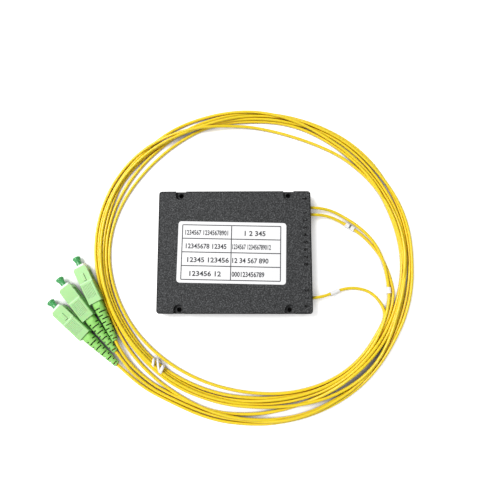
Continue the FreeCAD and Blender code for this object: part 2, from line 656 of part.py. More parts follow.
def make_cord_end(label, frame):
    """The cord's stripped end inside the connector: the jacket up to the crimp, then the bare buffer."""
    body = new_body(label, frame)
    jacket, bare = "cord_diameter/2", "fibre_diameter/2"
    revolve(body, [("-sleeve_length - boot_length + cord_entry", "0"), ("-sleeve_length - boot_length + cord_entry", jacket),
                   ("-jacket_front", jacket), ("-jacket_front", bare), ("-buffer_front", bare), ("-buffer_front", "0")])
    return body


# ---------------------------------------------------------------- the cords outside the box
COIL_CENTRE = (value("coil_centre_x"), value("coil_centre_y"))


def polar(angle, radius, z):
    """A point by its angle in degrees and its distance from the coil's centre."""
    a = math.radians(angle)
    return (COIL_CENTRE[0] + radius * math.cos(a), COIL_CENTRE[1] + radius * math.sin(a), z)


def leaving(exit_y, straight, places):
    """A cord's route out of its bore: from its gripped end straight out, then on through the places."""
    return [(INNER_END_X, exit_y, MID_Z), (value("box_length/2") + straight, exit_y, MID_Z)] + places


# where each cord's uncoiled stretch between the box and the coil passes
LEADS = {
    "output_lead_1": leaving(OUTPUT_YS[0], 2.5, [
        (63.5, 29, 3.1), (73, 25, 1.7), (83.5, 18, 1.6), (92.6, 8, 3.3), (98.2, -5, 3.3), (100.4, -17.5, 2),
        (101.5, -32, 1.7), (98.05, -44.1, 2.9)]),
    "output_lead_2": leaving(OUTPUT_YS[1], 2, [
        (62, 24.6, 3.2), (71.3, 20.6, 1.7), (82.3, 14, 1.7), (90.9, 5.9, 1), (98.4, -4.5, 1), (103, -17.3, 1),
        (104.7, -31, 1), (99.8, -44.9, 1)]),
    "input_lead": leaving(INPUT_Y, 2.4, [
        (60.7, -28.1, 3.6), (70, -24.2, 1.9), (79.5, -23.3, 1), (88.5, -26.4, 1), (94.9, -34.8, 1),
        (97.1, -43.7, 1)]),
}
# each connector: the middle of the grip's front face in plan, the way the ferrule points, how far its
# nose is raised, its roll and its boot's roll in degrees, and the angle, radius and height of its cord
# between the coil and the boot; the middle one lies on its key
CONNECTORS = [
    ((-102.07, -9.96), 117.8, 0, 0, 45, [(-117.8, 100.1, 1), (-125, 101.6, 1), (-132, 102.6, 1.1), (-139, 103.3, 2.4)]),
    ((-110.95, -22.95), 129.6, 1.65, 180, 10,
     [(-117.8, 102.25, 1), (-124, 103.6, 1.6), (-130.5, 104.7, 2.2), (-137, 105.6, 2.9)]),
    ((-115.6, -37.1), 138.9, 0, 0, 8, [(-117.8, 104.45, 1), (-124.5, 105.8, 1), (-131.5, 107.3, 2.4)]),
]
# the coil's inner and outer edge every 15 degrees, from the face that the three leads run into
COIL_FROM_LEADS = [98.7, 97.9, 98.8, 97.5, 97.1, 94, 90.2, 89.1, 91.5, 94.9, 94.8, 93.5, 94.3, 95.2, 94.4,
                   91.2, 88.2, 85.1, 83.3, 83.3, 83.8, 87.3, 90.7, 93.2, 93.2, 92.8]
COIL_FROM_TAILS = [105.4, 105.4, 105.1, 104.7, 107.2, 107.1, 107, 107.5, 106.7, 108, 106.7, 106.6, 105.6, 104.2,
                   104.1, 105, 106.2, 107.2, 108.5, 107.4, 104.4, 99.3, 99.5, 99.6, 98.8, 99.2]


def edge_angles(start, count):
    """Angles for an edge's radii: the faces' own angle at both ends, and every 15 degrees between."""
    first = math.floor(start / 15 + 1) * 15
    return [start] + [first + 15 * k for k in range(count - 2)] + [start + 360]


def coil_edge(start, radii, z):
    curve = Part.BSplineCurve()
    angles = edge_angles(start, len(radii))
    curve.interpolate([Vector(*polar(angle, radius, z)) for angle, radius in zip(angles, radii)])
    return curve.toShape()


def closed_wire(edge):
    ends = [v.Point for v in (edge.Vertexes[0], edge.Vertexes[-1])]
    return Part.Wire([edge, Part.LineSegment(ends[1], ends[0]).toShape()])


def make_coil(label):
    """The outer form of the loose coil: both its edges wander, with one face where the leads come in and
    one where the three ends leave it."""
    inner = closed_wire(coil_edge(value("lead_face_angle"), COIL_FROM_LEADS, 0))
    outer = closed_wire(coil_edge(value("tail_face_angle"), COIL_FROM_TAILS, 0))
    flat = Part.Face(outer).cut(Part.Face(inner))
    solid = flat.Faces[0].extrude(Vector(0, 0, value("coil_height")))
    top = [e for e in solid.Edges if isinstance(e.Curve, Part.BSplineCurve) and e.CenterOfMass.z > value("coil_height/2")
           and e.BoundBox.ZLength < value("coil_height/2")]
    return add_solid(label, solid.makeFillet(value("coil_rounding"), top))


def make_marker(label, run, length):
    """A loose marker sleeve on the middle of one run of a cord."""
    start, end = (Vector(*point) for point in run)
    body = new_body(label, Placement((start + end) / 2, Rotation(ALONG_X, end - start)))
    inner, outer = "cord_diameter/2 + marker_gap", "marker_diameter/2"
    revolve(body, [(f"-{length}/2", inner), (f"{length}/2", inner), (f"{length}/2", outer), (f"-{length}/2", outer)])
    return body


def make_tie(label):
    """A soft white tie wound round the inner strands of the coil."""
    centre = polar(value("tie_angle"), value("tie_radius"), value("tie_height/2"))
    body = new_body(label, Placement(Vector(*centre), Rotation(ALONG_Z, value("tie_angle"))))
    band = new_sketch(body, label + "_band", "XZ_Plane")
    add_rectangle(band, "0", "0", "tie_reach", "tie_height")
    pad(body, band, "tie_width", symmetric=True)
    dress(body, "Fillet", "tie_rounding", lambda edge: runs_along(edge, ALONG_Y))
    hole = new_sketch(body, label + "_hole", "XZ_Plane")
    add_rectangle(hole, "0", "0", "tie_reach - 2*tie_thickness", "tie_height - 2*tie_thickness")
    pocket(body, hole, "2*tie_width", symmetric=True)
    return body


def make_connector(number, front, heading, pitch, roll, boot_roll, tail):
    """One angled push-pull connector on the end of its cord."""
    height = value(f"sleeve_height/2 + sleeve_length*sin({pitch} deg)")
    level = Placement(Vector(front[0], front[1], height), Rotation(heading, -pitch, 0))
    frame = level.multiply(Placement(Vector(), Rotation(ALONG_X, roll)))
    for name, make in (("grip_sleeve", make_grip_sleeve), ("plug_frame", make_plug_frame),
                       ("ferrule", make_ferrule), ("ferrule_flange", make_flange), ("spring", make_spring),
                       ("rear_post", make_rear_post), ("crimp_ring", make_crimp_ring),
                       ("cord_end", make_cord_end), ("dust_cap", make_dust_cap)):
        make(f"{name}_{number}", frame)
    make_boot(f"bend_boot_{number}", frame, boot_roll)
    boot_end = value("-sleeve_length - boot_length")
    along = [boot_end - value("cord_straight"), boot_end + value("cord_entry")]
    points = [polar(*place) for place in tail] + [tuple(level.multVec(Vector(u, 0, 0))) for u in along]
    add_round(f"tail_{number}", points, "cord_diameter")


base_shell = make_base_shell()
lid_shell = make_lid_shell()
make_label()
make_package_tube()
make_stopper("input_stopper", "1", ["0"])
make_stopper("output_stopper", "(-1)", ["fibre_pitch/2", "-fibre_pitch/2"])
make_bar("splitter_chip", "0", "chip_length", "chip_width", "chip_height")
make_bar("input_fibre_array", "chip_length/2 + array_length/2", "array_length", "array_width", "array_height")
make_bar("output_fibre_array", "-chip_length/2 - array_length/2", "array_length", "array_width", "array_height")
add_round("input_fibre", input_fibre_points(), "fibre_diameter")
for number, exit_y in enumerate(OUTPUT_YS, start=1):
    seat_y = PACKAGE_Y + (-1 if number == 1 else 1) * value("fibre_pitch") / 2
    add_round(f"output_fibre_{number}", output_fibre_points(exit_y, seat_y), "fibre_diameter")
for number, places in enumerate(CONNECTORS, start=1):
    make_connector(number, *places)
for label, points in LEADS.items():
    add_round(label, points, "cord_diameter")
make_coil("cord_coil")
make_marker("output_marker_1", LEADS["output_lead_1"][7:9], "short_marker")
make_marker("output_marker_2", LEADS["output_lead_2"][3:5], "long_marker")
make_marker("input_marker", LEADS["input_lead"][2:4], "long_marker")
make_tie("coil_tie")

# ---------------------------------------------------------------- checks and export
doc.recompute()
for thing in doc.Objects:
    if "Invalid" in thing.State or "Error" in thing.State:
        raise RuntimeError(f"{thing.Label}: {thing.State}")
os.makedirs("parts", exist_ok=True)
pieces = [thing for thing in doc.Objects if thing.TypeId in ("PartDesign::Body", "Part::Feature")]
for piece in pieces:
    shape = piece.Shape
    if shape.isNull() or not shape.isValid() or len(shape.Solids) != 1:
        raise RuntimeError(f"{piece.Label} isn't one sound solid")
    box = shape.optimalBoundingBox()
    print(f"{piece.Label}: {shape.Volume:.1f} mm3, x {box.XMin:.2f} {box.XMax:.2f}, y {box.YMin:.2f} {box.YMax:.2f},"
          f" z {box.ZMin:.2f} {box.ZMax:.2f}")
    shape.exportStep(f"parts/{piece.Label}.step")
print(len(pieces), "pieces")
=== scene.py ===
# %% [markdown]
# # A boxed fibre splitter with its cords wound in a loose coil
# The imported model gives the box, the connectors and the moving bodies. This script lays the three yellow
# cords as real lengths of cord, prints the label, and gives every surface its material. Units are metres.

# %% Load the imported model
import math

import json

import bmesh
import bpy
import numpy as np
from mathutils import Matrix, Vector

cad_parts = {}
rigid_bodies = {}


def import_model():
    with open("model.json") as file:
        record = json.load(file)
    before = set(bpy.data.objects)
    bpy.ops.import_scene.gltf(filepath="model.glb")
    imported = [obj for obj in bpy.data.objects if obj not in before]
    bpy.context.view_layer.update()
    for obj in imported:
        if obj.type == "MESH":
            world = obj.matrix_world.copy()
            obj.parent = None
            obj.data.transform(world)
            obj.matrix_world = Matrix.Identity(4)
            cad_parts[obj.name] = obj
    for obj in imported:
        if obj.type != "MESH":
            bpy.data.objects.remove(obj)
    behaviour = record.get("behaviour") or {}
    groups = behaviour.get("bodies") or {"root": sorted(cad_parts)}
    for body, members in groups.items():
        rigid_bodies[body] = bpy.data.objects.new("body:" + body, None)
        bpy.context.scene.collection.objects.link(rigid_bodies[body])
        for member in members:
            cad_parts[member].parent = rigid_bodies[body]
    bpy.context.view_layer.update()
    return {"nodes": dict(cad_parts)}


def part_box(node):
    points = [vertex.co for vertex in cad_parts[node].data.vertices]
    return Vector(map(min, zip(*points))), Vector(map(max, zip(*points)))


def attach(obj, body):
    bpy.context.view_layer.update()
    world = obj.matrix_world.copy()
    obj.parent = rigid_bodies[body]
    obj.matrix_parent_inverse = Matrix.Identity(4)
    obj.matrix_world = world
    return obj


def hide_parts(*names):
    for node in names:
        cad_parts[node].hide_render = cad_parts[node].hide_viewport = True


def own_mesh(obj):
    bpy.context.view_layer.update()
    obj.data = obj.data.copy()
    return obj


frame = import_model()
MM = 0.001

# %% [markdown]
# The camera comes first, with the cords, because everything else is judged through it. It looks almost
# straight down from about 29 cm, a little from the near side.

# %% Camera
camera_data = bpy.data.cameras.new("camera")
camera_data.lens, camera_data.sensor_width = 32.25, 36
camera = bpy.data.objects.new("camera", camera_data)
bpy.context.scene.collection.objects.link(camera)
right = Vector((0.999896, 0.00025, -0.014407))
up = Vector((0.001672, 0.991074, 0.1333))
back = right.cross(up).normalized()
up = back.cross(right).normalized()
camera.matrix_world = Matrix.Translation(Vector((7.5744, -29.8276, 286.9547)) * MM) @ Matrix(
    (right.normalized(), up, back)).transposed().to_4x4()
bpy.context.scene.camera = camera
print("camera at", [round(v / MM) for v in camera.matrix_world.translation], "mm")

# %% [markdown]
# ## The cords
# On the real object three 2 mm cords leave the box, cross to a loose coil, go round it rather more than
# twice and part to their connectors. Each could be a mesh tube, but a smooth curve with a round section
# keeps its length measurable and its bends soft. Outside the coil its points repeat the model's route.
# Inside the coil each turn keeps to its own lane, which is its distance from the coil's centre every 15
# degrees.

# %% Route of each cord outside the coil
CENTRE, DIAMETER = (11.0, -5.0), 2.0
LEADS = [
    [(44, 30, 5), (52.5, 30, 5), (63.3, 28.7, 3.1), (72.5, 24.5, 1.7), (82.9, 17.3, 2.4),
     (92, 7.6, 3.3), (97.9, -5, 3.3), (100.4, -17.5, 2.2), (101.5, -32, 2)],
    [(44, 25.2, 5), (52, 25.2, 5), (62, 24.6, 3.2), (71.3, 20.6, 1.7), (82.3, 14, 1.7),
     (90.9, 5.9, 1), (98.4, -4.5, 1), (103, -17.3, 1), (104.7, -31, 1)],
    [(44, -30, 5), (52.4, -30, 5), (60.7, -28.1, 3.6), (70, -24.2, 1.9), (79.5, -23.1, 1),
     (89.5, -25.8, 1), (96.4, -33.6, 1), (98.7, -42, 1)],
]
# each connector: its grip's front in plan, heading and rise of its nose, and where its cord passes on the way
# there, as (angle, radius, height) round the coil
CONNECTORS = [
    ((-102.07, -9.96), 117.8, 0, [(-125, 101.6, 1), (-132, 102.6, 1.1), (-139, 103.3, 2.4)]),
    ((-110.95, -22.95), 129.6, 1.65, [(-124, 103.6, 1.6), (-130.5, 104.7, 2.2), (-137, 105.6, 2.9)]),
    ((-115.6, -37.1), 138.9, 0, [(-124.5, 105.8, 1), (-131.5, 107.3, 2.4)]),
]
GRIP_LENGTH, GRIP_HEIGHT = 25.7, 7.4
BOOT_LENGTH, BOOT_COLLAR, BOOT_RADIUS, BOOT_END_RADIUS = 27.5, 4.0, 3.45, 1.85
CORD_STRAIGHT, CORD_ENTRY = 7, 3
print("cords:", len(LEADS), "with", [len(lead) for lead in LEADS], "points before the coil")

# %% Lane of each cord in the coil, every 15 degrees clockwise from -30 degrees, half a turn to a line
LANES = np.array([
    [95.4, 95.6, 93.6, 90.7, 89.9, 90.4, 90.7, 91.5, 93.4, 96.0, 98.8, 101.0,
     103.2, 102.0, 99.8, 98.0, 98.2, 98.9, 101.6, 102.3, 102.0, 103.2, 102.6, 99.4,
     101.8, 103.4, 100.2, 95.8, 93.2, 93.1, 94.4, 94.8, 96.3, 98.8, 102.4, 104.7,
     105.4, 105.2, 105.7, 104.2, 103.1, 100.9, 98.8, 98.9, 100.6, 101.4, 100.8, 99.6,
     100.3, 97.8, 96.9, 97.1, 98.2, 100.5],
    [97.0, 96.2, 93.9, 90.0, 88.2, 87.9, 88.9, 90.7, 92.1, 94.9, 97.4, 99.0,
     99.1, 99.6, 100.7, 102.0, 102.7, 103.1, 104.5, 106.0, 105.7, 105.2, 105.0, 104.2,
     104.7, 104.8, 103.8, 103.3, 100.9, 99.6, 98.3, 98.5, 98.9, 100.5, 103.8, 106.7,
     108.0, 106.6, 101.0, 95.3, 92.4, 90.1, 91.3, 95.1, 98.0, 99.0, 100.4, 101.8,
     103.0, 104.2, 103.8, 103.6, 102.6, 102.2],
    [94.3, 94.4, 91.6, 88.0, 84.9, 83.8, 84.3, 86.1, 89.1, 92.0, 95.2, 96.1,
     95.3, 94.8, 95.8, 97.5, 96.5, 97.7, 97.4, 97.5, 97.9, 98.6, 99.7, 98.9,
     98.0, 96.5, 95.3, 93.3, 92.0, 91.5, 91.9, 92.6, 94.6, 97.2, 100.2, 102.6,
     104.0, 102.6, 99.2, 98.2, 99.8, 101.8, 102.9, 104.1, 105.0, 106.6, 105.6, 106.5,
     105.3, 105.8, 105.6, 104.3, 104.0, 104.9],
])
FIRST, STEP, SAMPLE = -30, 15, 5
# where a cord lies over or under what it otherwise wouldn't: cord, from angle, to angle, what its rank gains
ON_TOP = [(0, -368, -440, 20), (1, -442, -486, 9), (1, -562, -624, 30), (2, -560, -608, 20),
          (0, -634, -672, 20), (1, -668, -692, -10)]
print("stations in each lane:", LANES.shape[1], "or", round((LANES.shape[1] - 1) * STEP / 360, 2), "turns")

# %% [markdown]
# Where two strands meet, one lies over the other. Real cords settle: each keeps to its lane, sinks under
# its own weight, and is held up by what it crosses. The same is worked here in small steps, on samples
# every 5 degrees. A physics simulation would do it too, but a strand would slide out of its lane and the
# crossings would move.

# %% Samples and ranks
def between_stations(lane):
    """The lane's radius every SAMPLE degrees, by a smooth curve through its stations."""
    per_station = STEP // SAMPLE
    steps = np.arange((len(lane) - 1) * per_station + 1)
    i = np.minimum(steps // per_station, len(lane) - 2)
    t = steps / per_station - i
    a, b, c, d = (np.take(lane, np.clip(i + k, 0, len(lane) - 1)) for k in (-1, 0, 1, 2))
    return b + 0.5 * t * (c - a + t * (2 * a - 5 * b + 4 * c - d + t * (3 * (b - c) + d - a)))


def rank_of(cord, angle):
    """A later turn lies over an earlier one, apart from the places named in ON_TOP."""
    rank = 3 * int((FIRST - angle) // 360) + 2 - cord
    return rank + sum(extra for who, start, end, extra in ON_TOP if who == cord and start >= angle >= end)


lanes = np.array([between_stations(lane) for lane in LANES])
angles = FIRST - SAMPLE * np.arange(lanes.shape[1])
ranks = np.array([[rank_of(cord, angle) for angle in angles] for cord in range(3)])
# the tie passes under the strands that it holds, so these lie a little higher there
TIE_ANGLE, TIE_REACH, TIED_OUTER = -131.5, 9, 95.6
around = (angles + 720) % 360 - 360
tied = (np.abs(around - TIE_ANGLE) <= TIE_REACH) & (lanes < TIED_OUTER)
ground = np.where(tied, DIAMETER / 2 + 0.45, DIAMETER / 2)
print("samples in each cord:", lanes.shape[1])


# %% Settle the strands
TOUCHING, BESIDE = DIAMETER * 1.01, 1.35


def keep_apart(r, z, cord, other, shift):
    """Strands that are nearly beside each other part sideways, and strands that cross part in height."""
    one, two = (cord, slice(0, r.shape[1] - shift)), (other, slice(shift, None))
    dr, dz = r[two] - r[one], z[two] - z[one]
    above = np.sign(ranks[two] - ranks[one])
    beside = np.abs(dr) > BESIDE
    close = np.hypot(dr, dz) < TOUCHING
    apart = np.where(close & beside, 0.3 * np.sign(dr) * (TOUCHING - np.abs(dr)), 0)
    needed = np.sqrt(np.maximum(TOUCHING ** 2 - dr ** 2, 0))
    lift = np.where(beside, 0, 0.5 * above * np.maximum(needed - above * dz, 0))
    r[one] -= apart
    r[two] += apart
    z[one] -= lift
    z[two] += lift


def settle(rounds=900):
    """Radius and height of every sample once the strands have sunk, smoothed out and parted."""
    r, z = lanes.copy(), ground + 0.3 * (ranks - ranks.min())
    turn = 360 // SAMPLE
    pairs = [(a, b, turn * m) for m in range(3) for a in range(3) for b in range(3) if m or a < b]
    for _ in range(rounds):
        z -= 0.03
        z[:, 1:-1] += 0.2 * (0.5 * (z[:, :-2] + z[:, 2:]) - z[:, 1:-1])
        r += 0.08 * (lanes - r)
        for pair in pairs:
            keep_apart(r, z, *pair)
        z = np.maximum(z, ground)
    count = r.shape[1]
    gaps = [np.hypot(r[b, s:] - r[a, :count - s], z[b, s:] - z[a, :count - s]).min() for a, b, s in pairs]
    for what, length in (("nearest two centres", min(gaps)), ("highest centre", z.max()),
                         ("furthest from a lane", np.abs(r - lanes).max())):
        print(what, round(float(length), 2), "mm")
    return r, z


radii, heights = settle()


# %% The points of each cord
def polar(angle, radius, z):
    """A point at an angle and radius round the coil's centre."""
    a = math.radians(angle)
    return (CENTRE[0] + radius * math.cos(a), CENTRE[1] + radius * math.sin(a), z)


def along_connector(number, u, v=0.0, w=0.0):
    """A point u ahead of the grip's front face, v to its left and w above its axis, in millimetres."""
    front, heading, pitch, _ = CONNECTORS[number]
    height = GRIP_HEIGHT / 2 + GRIP_LENGTH * math.sin(math.radians(pitch))
    turn = Matrix.Rotation(math.radians(heading), 3, "Z") @ Matrix.Rotation(math.radians(-pitch), 3, "Y")
    return tuple(Vector((front[0], front[1], height)) + turn @ Vector((u, v, w)))


# a smooth curve runs a little inside its points, so the turns' points lie that much further out
OUTSIDE = 1 / (0.75 + 0.25 * math.cos(math.radians(2 * SAMPLE)))


def cord_points(number):
    """The lead's points, two samples apart round the coil, then the tail's, straight into the boot."""
    count = lanes.shape[1]
    chosen = list(range(0, count - 3, 2)) + [count - 1]
    coil = [polar(angles[k], radii[number, k] * OUTSIDE, heights[number, k]) for k in chosen]
    tail = [polar(*place) for place in CONNECTORS[number][3]]
    boot_end = -GRIP_LENGTH - BOOT_LENGTH
    last = [along_connector(number, boot_end + u) for u in (-CORD_STRAIGHT, CORD_ENTRY)]
    return LEADS[number] + coil + tail + last


def smooth_curve(name, points, radius):
    """One open smooth curve through the run of the points, with a round section."""
    data = bpy.data.curves.new(name, "CURVE")
    data.dimensions = "3D"
    spline = data.splines.new("NURBS")
    spline.points.add(len(points) - 1)
    for point, place in zip(spline.points, points):
        point.co = (*[v * MM for v in place], 1)
    spline.order_u = 3
    spline.use_endpoint_u = True
    data.resolution_u = 5
    data.bevel_depth, data.bevel_resolution = radius * MM, 4
    data.use_fill_caps = True
    piece = bpy.data.objects.new(name, data)
    bpy.context.scene.collection.objects.link(piece)
    return piece


# %% The three cords
cords = [smooth_curve(name, cord_points(number), DIAMETER / 2)
         for number, name in enumerate(("output_cord_1", "output_cord_2", "input_cord"))]
print("cords:", [(piece.name, len(piece.data.splines[0].points)) for piece in cords])

# %% [markdown]
# ## Effects that several materials share
# A moulded surface with fine grain and soft edges, a painted highlight along the edges, and a speckle are
# node groups, so they are made once and set differently in each material. Each material keeps its own
# Principled shader.

# %% Node helpers
def new_group(name, inputs, outputs):
    """A shader group with these sockets, and its two end nodes."""
    group = bpy.data.node_groups.new(name, "ShaderNodeTree")
    for label, kind, default in inputs:
        socket = group.interface.new_socket(label, in_out="INPUT", socket_type=kind)
        if default is not None:
            socket.default_value = default
    for label, kind in outputs:
        group.interface.new_socket(label, in_out="OUTPUT", socket_type=kind)
    return group, group.nodes.new("NodeGroupInput"), group.nodes.new("NodeGroupOutput")


def mix_colour(nodes, links, factor, a, b, blend="MIX"):
    """A mix of two colours, each a socket or a fixed value."""
    node = nodes.new("ShaderNodeMix")
    node.data_type, node.blend_type = "RGBA", blend
    for socket, source in ((node.inputs[0], factor), (node.inputs[6], a), (node.inputs[7], b)):
        if hasattr(source, "is_output"):
            links.new(source, socket)
        else:
            socket.default_value = source
    return node.outputs[2]


def math_node(nodes, links, operation, a, b=0.0, clamp=False):
    """One step of arithmetic on sockets or fixed values."""
    node = nodes.new("ShaderNodeMath")
    node.operation, node.use_clamp = operation, clamp
    for socket, source in zip(node.inputs, (a, b)):
        if hasattr(source, "is_output"):
            links.new(source, socket)
        else:
            socket.default_value = source
    return node.outputs[0]


def noise(nodes, links, scale, detail=3.0, roughness=0.55):
    """Noise that stays with the object as it moves."""
    place = nodes.new("ShaderNodeTexCoord")
    node = nodes.new("ShaderNodeTexNoise")
    node.inputs["Detail"].default_value = detail
    node.inputs["Roughness"].default_value = roughness
    links.new(place.outputs["Object"], node.inputs["Vector"])
    if hasattr(scale, "is_output"):
        links.new(scale, node.inputs["Scale"])
    else:
        node.inputs["Scale"].default_value = scale
    return node.outputs["Fac"]


# %% Moulded surface: soft edges, fine grain, slight unevenness of colour and gloss
moulded, given, result = new_group("moulded_surface", [
    ("Colour", "NodeSocketColor", (0.5, 0.5, 0.5, 1)), ("Variation", "NodeSocketFloat", 0.1),
    ("Roughness", "NodeSocketFloat", 0.4), ("Grain Scale", "NodeSocketFloat", 2000.0),
    ("Grain Depth", "NodeSocketFloat", 0.00005), ("Edge", "NodeSocketFloat", 0.0002)],
    [("Colour", "NodeSocketColor"), ("Roughness", "NodeSocketFloat"), ("Normal", "NodeSocketVector")])
n, l = moulded.nodes, moulded.links
soft_edge = n.new("ShaderNodeBevel")
soft_edge.samples = 6
l.new(given.outputs["Edge"], soft_edge.inputs["Radius"])
grain = noise(n, l, given.outputs["Grain Scale"], 4, 0.6)
bump = n.new("ShaderNodeBump")
bump.inputs["Strength"].default_value = 1
l.new(given.outputs["Grain Depth"], bump.inputs["Distance"])
l.new(grain, bump.inputs["Height"])
l.new(soft_edge.outputs[0], bump.inputs["Normal"])
l.new(bump.outputs[0], result.inputs["Normal"])
cloud = noise(n, l, 90.0, 4)
shade = math_node(n, l, "MULTIPLY", math_node(n, l, "SUBTRACT", cloud, 0.5), given.outputs["Variation"])
# the mix gives half the colour at no shade, so it is doubled back
halved = mix_colour(n, l, math_node(n, l, "ADD", shade, 0.5, True), (0, 0, 0, 1), given.outputs["Colour"])
l.new(mix_colour(n, l, 1.0, halved, (2, 2, 2, 1), "MULTIPLY"), result.inputs["Colour"])
l.new(math_node(n, l, "ADD", given.outputs["Roughness"], shade, True), result.inputs["Roughness"])

# %% Painted highlight on edges: a lighter tone where two faces meet, in patches
edge_highlight_tree, given, result = new_group("painted_edge_highlight", [
    ("Colour", "NodeSocketColor", (0.5, 0.5, 0.5, 1)), ("Edge Colour", "NodeSocketColor", (0.8, 0.8, 0.8, 1)),
    ("Width", "NodeSocketFloat", 0.0005), ("Amount", "NodeSocketFloat", 0.5)],
    [("Colour", "NodeSocketColor")])
n, l = edge_highlight_tree.nodes, edge_highlight_tree.links
rounded, plain = n.new("ShaderNodeBevel"), n.new("ShaderNodeNewGeometry")
rounded.samples = 6
l.new(given.outputs["Width"], rounded.inputs["Radius"])
dot = n.new("ShaderNodeVectorMath")
dot.operation = "DOT_PRODUCT"
l.new(rounded.outputs[0], dot.inputs[0])
l.new(plain.outputs["Normal"], dot.inputs[1])
edge = math_node(n, l, "MULTIPLY", math_node(n, l, "SUBTRACT", 1.0, dot.outputs["Value"]), 8.0, True)
patchy = math_node(n, l, "MULTIPLY", edge, math_node(n, l, "ADD", noise(n, l, 700.0), 0.3, True))
l.new(mix_colour(n, l, math_node(n, l, "MULTIPLY", patchy, given.outputs["Amount"]), given.outputs["Colour"],
                 given.outputs["Edge Colour"]), result.inputs["Colour"])


def colour(r, g, b):
    """Linear colour from the usual 0 to 255 screen values."""
    linear = [v / 255 / 12.92 if v <= 10 else ((v / 255 + 0.055) / 1.055) ** 2.4 for v in (r, g, b)]
    return (*linear, 1.0)


def moulded_material(name, tone, roughness=0.4, variation=0.1, grain=(2000, 0.00003), edge=0.0002,
                     painted_edge_highlight=None, **sockets):
    """A material on the moulded surface group, with any other Principled socket given by name."""
    material = bpy.data.materials.new(name)
    material.use_nodes = True
    nodes, links = material.node_tree.nodes, material.node_tree.links
    shader = nodes["Principled BSDF"]
    surface = nodes.new("ShaderNodeGroup")
    surface.node_tree = moulded
    for label, number in (("Variation", variation), ("Roughness", roughness), ("Grain Scale", grain[0]),
                          ("Grain Depth", grain[1]), ("Edge", edge)):
        surface.inputs[label].default_value = number
    surface.inputs["Colour"].default_value = tone
    source = surface.outputs["Colour"]
    if painted_edge_highlight:
        edge_highlight_node = nodes.new("ShaderNodeGroup")
        edge_highlight_node.node_tree = edge_highlight_tree
        edge_highlight_node.inputs["Edge Colour"].default_value = painted_edge_highlight
        edge_highlight_node.inputs["Width"].default_value = edge * 2
        links.new(source, edge_highlight_node.inputs["Colour"])
        source = edge_highlight_node.outputs["Colour"]
    links.new(source, shader.inputs["Base Color"])
    links.new(surface.outputs["Roughness"], shader.inputs["Roughness"])
    links.new(surface.outputs["Normal"], shader.inputs["Normal"])
    for label, number in sockets.items():
        shader.inputs[label.replace("_", " ")].default_value = number
    return material


def dress(node, material):
    """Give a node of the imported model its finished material."""
    data = bpy.data.objects[node].data
    data.materials.clear()
    data.materials.append(material)


# %% [markdown]
# ## The materials
# The box is moulded in charcoal plastic with a fine spark-eroded grain that catches the light, and painted
# shade darkens its edges. The cord's jacket is a slightly translucent yellow. The connectors are two greens
# with a white frame.

# %% Speckle: the light and dark grains of a spark-eroded surface
speckle, given, result = new_group("speckle", [
    ("Colour", "NodeSocketColor", (0.5, 0.5, 0.5, 1)), ("Dark", "NodeSocketColor", (0.1, 0.1, 0.1, 1)),
    ("Light", "NodeSocketColor", (0.9, 0.9, 0.9, 1)), ("Scale", "NodeSocketFloat", 900.0),
    ("Amount", "NodeSocketFloat", 0.5)], [("Colour", "NodeSocketColor")])
n, l = speckle.nodes, speckle.links
grains = noise(n, l, given.outputs["Scale"], 2, 0.6)
low = math_node(n, l, "MULTIPLY", math_node(n, l, "SUBTRACT", 0.5, grains), 3.5, True)
high = math_node(n, l, "MULTIPLY", math_node(n, l, "SUBTRACT", grains, 0.5), 3.5, True)
darker = mix_colour(n, l, math_node(n, l, "MULTIPLY", low, given.outputs["Amount"]), given.outputs["Colour"],
                    given.outputs["Dark"])
lighten = math_node(n, l, "MULTIPLY", high, given.outputs["Amount"])
l.new(mix_colour(n, l, lighten, darker, given.outputs["Light"]), result.inputs["Colour"])
print("groups:", [group.name for group in bpy.data.node_groups])

# %% Box, label and print
box_plastic = moulded_material("box_plastic", colour(54, 55, 56), 0.7, 0.3, (2200, 0.0002), 0.0003,
                               Specular_IOR_Level=0.3)
paper = moulded_material("label_paper", colour(250, 250, 251), 0.6, 0.01, (900, 0.000004), 0.00005)
ink = moulded_material("label_ink", colour(40, 42, 48), 0.6, 0.1, (900, 0.000002), 0.00002)
relief = moulded_material("case_relief", colour(14, 14, 14), 0.75, 0.2, (1500, 0.00004), 0.00005,
                          Specular_IOR_Level=0.15)


def add_speckle(material, dark, light, scale, amount):
    """Put the speckle group in front of the shader's colour."""
    nodes, links = material.node_tree.nodes, material.node_tree.links
    socket = nodes["Principled BSDF"].inputs["Base Color"]
    node = nodes.new("ShaderNodeGroup")
    node.node_tree = speckle
    for label, number in (("Dark", dark), ("Light", light), ("Scale", scale), ("Amount", amount)):
        node.inputs[label].default_value = number
    links.new(socket.links[0].from_socket, node.inputs["Colour"])
    links.new(node.outputs["Colour"], socket)


def add_rim(material, edge_shade_tone, half_length, half_width, width):
    """Paint shade on the band along the outer edge of the box, where the rounded edge turns away from the
    light.
    """
    nodes, links = material.node_tree.nodes, material.node_tree.links
    socket = nodes["Principled BSDF"].inputs["Base Color"]
    place, split = nodes.new("ShaderNodeTexCoord"), nodes.new("ShaderNodeSeparateXYZ")
    links.new(place.outputs["Object"], split.inputs[0])
    across = []
    for k, half in ((0, half_length), (1, half_width)):
        off = math_node(nodes, links, "ABSOLUTE", split.outputs[k])
        across.append(math_node(nodes, links, "SUBTRACT", off, half - width))
    nearest = math_node(nodes, links, "MAXIMUM", *across)
    band = math_node(nodes, links, "MULTIPLY", nearest, 2.5 / width, True)
    links.new(mix_colour(nodes, links, band, socket.links[0].from_socket, edge_shade_tone), socket)


add_speckle(box_plastic, colour(16, 16, 17), colour(116, 117, 119), 1320.0, 1.0)
lid_low, lid_high = (np.array(corner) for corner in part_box("lid_shell"))
half_length, half_width = (lid_high - lid_low)[:2] / 2
